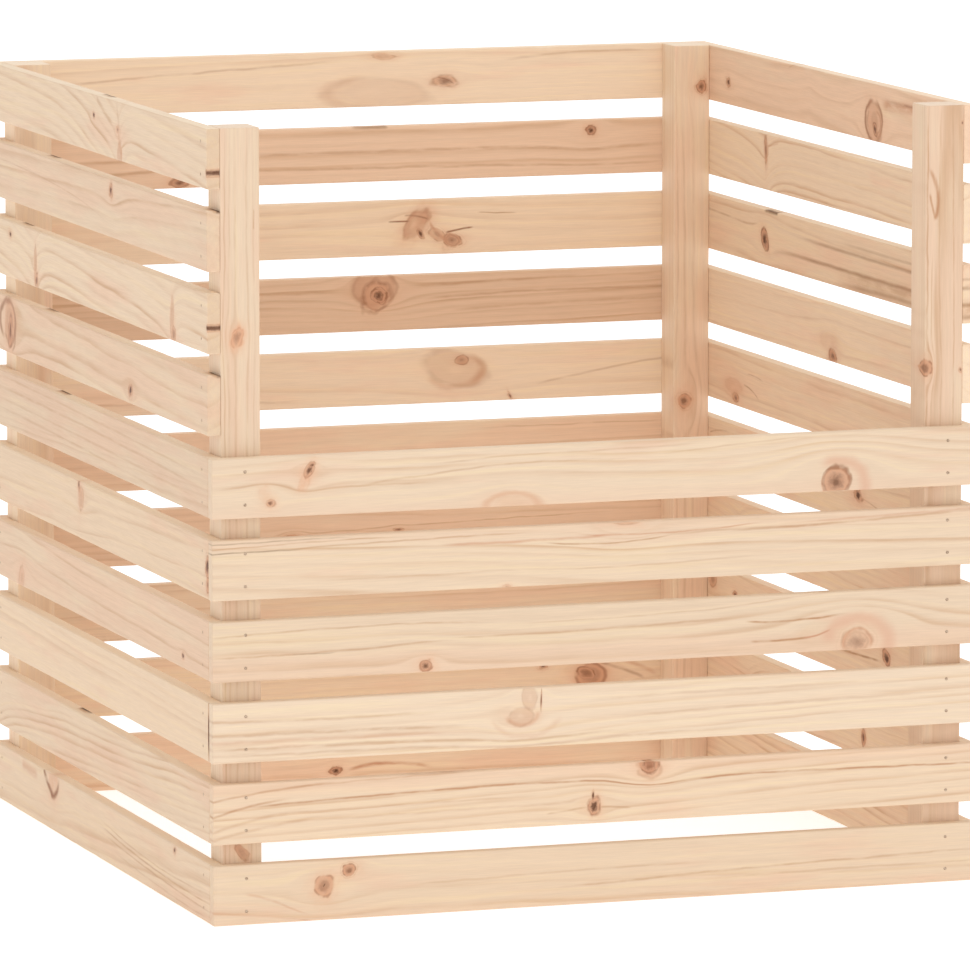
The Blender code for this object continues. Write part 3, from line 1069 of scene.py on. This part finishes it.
LOOKS["right_slat_03"] = (
    Wood(30.8, (36, 84), 8.6, 0.02, 4, 0.965, 0.055, 0.2, 0.55),
    Knot(177, -2, 9, 1.25, 60, 1.05, 0.9, 7, 0.7, 1.5),
    resin(158, 0.7),
    Line(-520, -10, 178, -8, -2, 3.4, 0.8, DARK_BAND),
    Line(-520, 5, 110, 10, 0, 3.2, 0.6, DARK_BAND),
    Line(-520, 14, -20, 17, 0, 2.6, 0.4, DARK_BAND),
    Line(-520, -22, -20, -25, 0, 4, 0.65, DARK_BAND),
    Line(-460, -15, -20, -17, 0, 15, 0.45),
    Line(190, 4, 386, 14, 2, 2, 0.5),
)
LOOKS["right_slat_04"] = (
    Wood(39.9, (48, -76), 8, 0.014, 5, 1.02, 0, 0.12, 0.38),
    Knot(-27, -23, 6.2, 1.5, 0, 0.85, 0.95, 6, 1, 1.6),
    Knot(-16, -10, 9, 3, 0, 0, 0.04, 2, 0.45, 1),
)
LOOKS["right_slat_05"] = (
    Wood(49.2, (40, 88), 8, 0.012, 6, 0.99, 0.03, 0.2, 0.45),
    Knot(262, -21, 5, 1.7, 0, 0.8, 0.7, 6, 0.8, 1.4),
    Knot(270, -9, 9, 2.6, 0, 0, 0.06, 2, 0.55, 1),
    mark(240, -4, 190, -16, 3, 1.6, 0.7),
    mark(228, 9, 178, 6, 1, 1.2, 0.7),
)
LOOKS["right_slat_06"] = (
    Wood(58.1, (36, -66), 7, 0.02, 5, 0.98, 0.04, 0.2, 0.5),
    Knot(-101, 1, 6.6, 1.7, 0, 1.3, 0.6, 4, 0.8, 1.2),
    mark(-112, 0, -176, -8, 0, 1.4, 0.6),
    Line(345, 12, 280, 20, 2, 1.6, 0.6),
)
LOOKS["right_slat_07"] = (
    Wood(67.4, (20, 50), 7.5, 0.03, 6, 0.98, 0.04, 0.2, 0.85),
    Spike(250, 18, 30, 80),
)
LOOKS["right_slat_08"] = (
    Wood(76.3, (36, 66), 7, 0.02, 5, 0.98, 0.04, 0.2, 0.45),
    Knot(-185, 4, 8.2, 1.4, 20, 1.3, 0.8, 4, 0.9, 1.2),
    Knot(262, 7, 3.4, 1.8, 0, 1, 0.7, 5, 0.7, 1.5),
    Knot(331, 14, 9, 1.4, 0, 0.25, 0.45, 4, 0.7, 1.2),
    mark(-50, -6, -172, -2, 0, 2.2, 0.95),
)
LOOKS["right_slat_09"] = (
    Wood(85.2, (30, -60), 7, 0.02, 5, 0.985, 0.04, 0.2, 0.5),
    Knot(-120, -8, 6, 1.5, 80, 0.9, 0.8, 4, 0.9, 1.2),
    Spike(220, 14, 30, 80),
)
LOOKS["right_slat_10"] = (Wood(6.7, (36, 70), 7.5, 0.05, 6, 0.985, 0.05, 0.2, 0.9),)
LOOKS["front_left_post"] = (
    Wood(18.6, (46, 12), 9, 0.006, 4.5, 0.95, 0.01, 0.25, 0.4, end=0.5),
    Knot(186, 4, 6, 1.4, -14, 0.4, 0.3, 3, 1.4, 1.1),
    Knot(-321, 0, 5, 1.8, 40, 0.25, 0.45, 2, 0.8, 1),
    Line(-470, 11, 470, 10, 1, 1.6, 0.25),
    Line(-470, 5, 470, 6, -1, 2, 0.3),
    Line(-470, -8, 470, -7, 1, 2, 0.32),
    Line(-470, -13, 470, -13, 0, 1.5, 0.2),
    mark(193, 3, 184, 6, 0, 1.6, 0.6, KNOT),
    mark(190, 7, 181, 9, 0, 1.2, 0.45, KNOT),
    Line(-470, 16, 470, 15.5, 0, 1.3, 0.4),
    mark(290, -14, 312, -14, 0, 1.2, 0.55),
)
LOOKS["front_right_post"] = (
    Wood(29.4, (44, -8), 6, 0.01, 5, 0.95, 0.02, 0.35, 0.6, end=0.5),
    Knot(128, 19.7, 6, 1.5, 0, 0.5, 0.8, 4, 0.9, 1.3),
    Knot(372, -18, 1.6, 1.4, 0, 0.8, 0.2, 4, 0.4, 1.2),
    Knot(125, -18, 2, 1.6, 20, 0.7, 0.3, 4, 0.5, 1.2),
    mark(274, 10, 330, 18, -6.5, 3.4, 1, GROWTH),
    mark(276, 10, 304, 16, 1, 2, 0.8, GROWTH),
    Line(40, 18.4, 420, 18, 0, 1.6, 0.65),
    Line(40, 14, 250, 13, 1, 1.3, 0.4),
    Line(40, 3.5, 420, 4, 2, 1.6, 0.35),
    Line(40, -8.5, 420, -8, -1, 1.4, 0.45),
)
LOOKS["rear_left_post"] = (Wood(40.3, (44, 10), 9, 0.008, 3, 1.1, 0.02, 0.1, 0.3, end=0.5),)
LOOKS["rear_right_post"] = (
    Wood(51.2, (52, 4), 9, 0.004, 4, 1.05, 0.03, 0.25, 0.38, end=0.5),
    Knot(346, -10, 6, 1.15, 0, 0.7, 0.8, 5, 1.2, 1.6),
    Knot(7, 8.5, 7.5, 1.1, 0, 0.6, 0.7, 5, 1.3, 2),
    Line(-420, 8, 380, 10, -2, 2.4, 0.3),
    Line(-420, -2, 420, -3, 1, 2.4, 0.22),
    Line(-420, 15, 420, 15, 0, 1.8, 0.3),
)


def board_place(name, low, high):
    """A board's length, thickness and width, and where it stands."""
    centre, extent = (low + high) / 2, high - low - Vector((2, 2, 2)) * BOARD_INSET
    if name.endswith("_post"):
        outward = Vector((math.copysign(1, centre.x), math.copysign(1, centre.y), 0))
        centre += outward * POST_SNUG / 2
        size = (extent.z, extent.y + POST_SNUG, extent.x + POST_SNUG)
        return size, Matrix.Translation(centre) @ Matrix.Rotation(-math.pi / 2, 4, "Y")
    size = (max(extent.x, extent.y), min(extent.x, extent.y), extent.z)
    return size, Matrix.Translation(centre) @ Matrix.Rotation(TURNS[name.split("_")[0]], 4, "Z")


def nail_spots(wall):
    """Two nails at each end of a slat, on the post's centre line."""
    low, high = (Vector(c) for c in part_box("front_left_post"))
    middle = (low + high) / 2
    nail_x = abs(middle.x) if wall in ("front", "rear") else abs(middle.y)
    return [(x, z) for x in (-nail_x, nail_x) for z in (-NAIL_SPACING / 2, NAIL_SPACING / 2)]


def make_board(name):
    """Dress one board's solid with a finer mesh and its own pine."""
    post = name.endswith("_post")
    kind = "post" if post else name.split("_")[0]
    size, place = board_place(name, *(Vector(c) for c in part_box(name)))
    radius = POST_EDGE_RADIUS if post else EDGE_RADIUS
    board = add_object(name + "_wood", board_mesh(name + "_wood", *size, radius, random.Random(name)))
    spots = [] if post else nail_spots(kind)
    if spots:
        cut_seats(board, size[1], spots)
    board.data.shade_smooth()
    board.data.set_sharp_from_angle(angle=math.radians(BOARD_CREASE))
    board.matrix_world = place
    size_mm = tuple(s * PER_METRE for s in size)
    board.data.materials.clear()
    board.data.materials.append(pine(name + "_pine", size_mm, LOOKS[name], TIMBER[kind]))
    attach(board, "root")
    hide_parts(name)
    "pine_" + kind
    return place, size, spots


def nail_head(place, thickness, x, z, dice):
    """One head, a little domed, sunk below the wood and slightly off its mark."""
    face = -thickness / 2 + HEAD_TOP + dice.uniform(0, HEAD_SUNK) * MM
    profile = [(part * HEAD_RADIUS, face + drop * MM) for part, drop in HEAD_DOME]
    profile += [(HEAD_FOOT * HEAD_RADIUS, face + HEAD_THICKNESS), (0, face + HEAD_THICKNESS)]
    bm = bmesh.new()
    turned(bm, profile, HEAD_SIDES, 0, 0)
    bmesh.ops.recalc_face_normals(bm, faces=bm.faces)
    x += dice.uniform(-HEAD_STRAY, HEAD_STRAY) * MM
    z += dice.uniform(-HEAD_STRAY, HEAD_STRAY) * MM
    bmesh.ops.transform(bm, matrix=place @ Matrix.Translation((x, 0, z)), verts=bm.verts)
    return finished(bm, "nail")


def make_nails(wall, rows, steel):
    """The nail heads of one wall."""
    dice = random.Random(wall + " nails")
    bm = bmesh.new()
    for place, size, spots in rows:
        for x, z in spots:
            part = nail_head(place, size[1], x, z, dice)
            bm.from_mesh(part)
            bpy.data.meshes.remove(part)
    mesh = finished(bm, wall + "_nails")
    mesh.shade_smooth()
    mesh.set_sharp_from_angle(angle=math.radians(HEAD_CREASE))
    mesh.materials.append(steel)
    nails = add_object(wall + "_nails", mesh)
    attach(nails, "root")


def nail_steel():
    """Dull zinc with darker spots, as on a plated nail head that was hammered."""
    material, tree, shader = new_material("nail_zinc")
    g = Graph(tree)
    place = g.out(g.add("ShaderNodeTexCoord", {}), "Object")
    spots = g.noise(place, 900, 4, 0.65)
    g.set(shader["Base Color"], g.mix(g.smooth(spots, 0.4, 0.62), ZINC, ZINC_SPOT))
    g.set(shader["Roughness"], g.smooth(spots, 0.35, 0.65, *ZINC_ROUGHNESS))
    g.set(shader["Normal"], g.bump(g.noise(place, 4200, 2, 0.6), *ZINC_BUMP))
    shader["Metallic"].default_value = ZINC_METALLIC
    return material


def make_floor():
    """A wide, plain, almost white floor."""
    bm = bmesh.new()
    bmesh.ops.create_circle(bm, cap_ends=True, segments=FLOOR_SIDES, radius=FLOOR_RADIUS)
    mesh = finished(bm, "floor")
    floor = add_object("floor", mesh)
    floor.location = (0, 0, -FLOOR_DROP)
    material, _, shader = new_material("floor_white")
    for key, value in FLOOR_SURFACE.items():
        shader[key].default_value = value
    mesh.materials.append(material)
    floor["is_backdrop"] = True


def make_light():
    """A white surround and two large round lamps that face the bin."""
    world = bpy.data.worlds.new("studio")
    world.use_nodes = True
    background = world.node_tree.nodes["Background"]
    background.inputs["Color"].default_value = WHITE
    background.inputs["Strength"].default_value = WORLD_LIGHT
    bpy.context.scene.world = world
    for name, (place, size, power) in LAMPS.items():
        light = bpy.data.lights.new(name, "AREA")
        light.shape = "DISK"
        light.size = size
        light.energy = power
        obj = add_object(name, light)
        obj.location = place
        aim = Vector(LAMP_AIM) - Vector(place)
        obj.rotation_euler = aim.to_track_quat("-Z", "Y").to_euler()


def make_camera():
    """The photograph's own view of the bin."""
    data = bpy.data.cameras.new("camera")
    data.sensor_width = SENSOR_MM
    data.lens = FOCAL_PIXELS * SENSOR_MM / PICTURE_HEIGHT
    data.clip_end = FARTHEST
    camera = add_object("camera", data)
    camera.location = CAMERA_PLACE
    camera.rotation_euler = (math.pi / 2 - CAMERA_PITCH, 0, -CAMERA_YAW)
    bpy.context.scene.camera = camera


def make_bin():
    """Every board of the frame, then the nail heads wall by wall."""
    walls = {}
    for node in sorted(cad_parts):
        place, size, spots = make_board(node)
        if spots:
            walls.setdefault(node.split("_")[0], []).append((place, size, spots))
    steel = nail_steel()
    for wall in sorted(walls):
        make_nails(wall, walls[wall], steel)


make_camera()
make_light()
make_floor()
make_bin()

bpy.context.scene.view_settings.view_transform = "Standard"
bpy.context.scene.view_settings.look = "None"

boxes = {"cad": CAD_BOX, "visual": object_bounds()}
